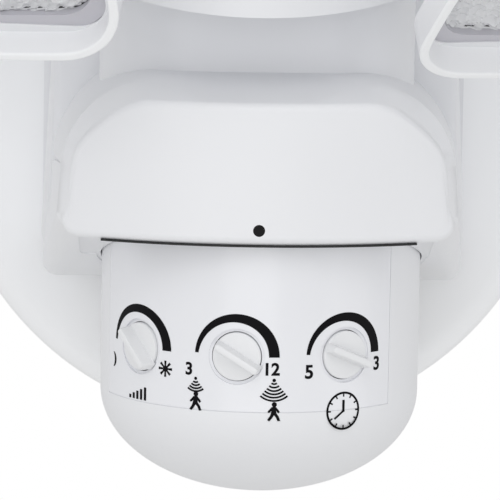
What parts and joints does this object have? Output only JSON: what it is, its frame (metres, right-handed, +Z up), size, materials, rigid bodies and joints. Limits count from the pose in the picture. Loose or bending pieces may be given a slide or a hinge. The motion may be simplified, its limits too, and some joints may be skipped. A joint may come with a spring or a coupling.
{
  "type": "motion sensor security light",
  "caption": "Wall-mounted motion sensor security light: round canopy, hooded housing, lamp heads that pan and tilt on side arms, and a turning drum sensor with setting knobs.",
  "frame": {"origin": "centre of the wall fixing slots, in the plane of the wall behind the canopy", "axes": "+Y into the wall along the fixing screws, +Z up, +X to the right as the light is seen from the front"},
  "size_m": [0.2502, 0.149, 0.1807],
  "materials": {
    "white_gloss_plastic": "gloss white moulded ABS",
    "white_panel": "gloss white moulded ABS",
    "knob_plastic": "gloss white moulded nylon",
    "grey_frame": "satin grey moulded polycarbonate",
    "lens_acrylic": "textured clear acrylic",
    "fresnel_hdpe": "ribbed milky polyethylene",
    "dark_window": "dark gloss acrylic",
    "black_rubber": "black moulded rubber",
    "foam": "closed cell foam",
    "zinc_steel": "zinc plated steel",
    "plate_steel": "white powder coated steel",
    "aluminium": "cast aluminium",
    "reflector_plastic": "vacuum metallised plastic",
    "circuit_board": "green solder mask",
    "white_board": "white solder mask",
    "led_phosphor": "yellow phosphor",
    "terminal_nylon": "natural nylon",
    "component_black": "black epoxy and sleeve",
    "relay_blue": "blue moulded plastic",
    "winding": "yellow wrapped winding"
  },
  "bodies": {
    "housing": {"wall_plate": "plate_steel", "wall_gasket": "foam", "canopy": "white_gloss_plastic", "canopy_screws": "zinc_steel", "cable_grommet": "black_rubber", "terminal_block": "terminal_nylon", "terminal_screws": "zinc_steel", "cord_clamp": "terminal_nylon", "clamp_screws": "zinc_steel", "rear_cover": "white_gloss_plastic", "body_screws": "zinc_steel", "front_housing": "white_gloss_plastic", "driver_board": "circuit_board", "transformer": "winding", "capacitors": "component_black", "relay": "relay_blue", "photocell_window": "dark_window", "upper_housing": "white_gloss_plastic", "shoulder_left": "white_gloss_plastic", "shoulder_right": "white_gloss_plastic", "sensor_bracket": "white_gloss_plastic", "bracket_screws": "zinc_steel"},
    "sensor": {"sensor_shell": "white_gloss_plastic", "sensor_lid": "white_gloss_plastic", "sensor_collar": "white_gloss_plastic", "dial_panel": "white_panel", "fresnel_lens": "fresnel_hdpe", "dial_pots": "component_black", "dial_boards": "circuit_board", "sensor_board": "circuit_board", "pyro_detector": "zinc_steel"},
    "knob_light": {"knob_light": "knob_plastic"},
    "knob_range": {"knob_range": "knob_plastic"},
    "knob_time": {"knob_time": "knob_plastic"},
    "left_arm": {"arm_left": "white_gloss_plastic", "pan_bolt_left": "zinc_steel"},
    "left_head": {"head_shell_left": "white_gloss_plastic", "shroud_left": "white_gloss_plastic", "lens_frame_left": "grey_frame", "lens_left": "lens_acrylic", "lens_gasket_left": "black_rubber", "reflector_left": "reflector_plastic", "led_board_left": "white_board", "led_chips_left": "led_phosphor", "heat_sink_left": "aluminium", "tilt_bolt_left": "zinc_steel"},
    "right_arm": {"arm_right": "white_gloss_plastic", "pan_bolt_right": "zinc_steel"},
    "right_head": {"head_shell_right": "white_gloss_plastic", "shroud_right": "white_gloss_plastic", "lens_frame_right": "grey_frame", "lens_right": "lens_acrylic", "lens_gasket_right": "black_rubber", "reflector_right": "reflector_plastic", "led_board_right": "white_board", "led_chips_right": "led_phosphor", "heat_sink_right": "aluminium", "tilt_bolt_right": "zinc_steel"}
  },
  "joints": [
    {"name": "sensor_pan", "type": "hinge", "parent": "housing", "child": "sensor", "pos_m": [0.0015, -0.057, 0.006], "axis": [0, 0, 1], "range_deg": [-171, 171]},
    {"name": "knob_light_turn", "type": "hinge", "parent": "sensor", "child": "knob_light", "pos_m": [-0.02644, -0.08125, -0.0439], "axis": [-0.7553, -0.6554, 0], "range_deg": [0, 252]},
    {"name": "knob_range_turn", "type": "hinge", "parent": "sensor", "child": "knob_range", "pos_m": [-0.00448, -0.09351, -0.0439], "axis": [-0.1616, -0.9869, 0], "range_deg": [0, 252]},
    {"name": "knob_time_turn", "type": "hinge", "parent": "sensor", "child": "knob_time", "pos_m": [0.02025, -0.0889, -0.0439], "axis": [0.5068, -0.8621, 0], "range_deg": [0, 252]},
    {"name": "left_head_pan", "type": "hinge", "parent": "housing", "child": "left_arm", "pos_m": [-0.062, -0.06, 0.082], "axis": [0, 0, -1], "range_deg": [-8.6, 66.4]},
    {"name": "left_head_tilt", "type": "hinge", "parent": "left_arm", "child": "left_head", "pos_m": [-0.06717, -0.08138, 0.082], "axis": [0.972, -0.2351, 0], "range_deg": [-51.5, 21.5]},
    {"name": "right_head_pan", "type": "hinge", "parent": "housing", "child": "right_arm", "pos_m": [0.062, -0.06, 0.082], "axis": [0, 0, 1], "range_deg": [-15.8, 59.2]},
    {"name": "right_head_tilt", "type": "hinge", "parent": "right_arm", "child": "right_head", "pos_m": [0.06981, -0.08057, 0.082], "axis": [0.9348, 0.3551, 0], "range_deg": [-67.8, 5.2]}
  ]
}
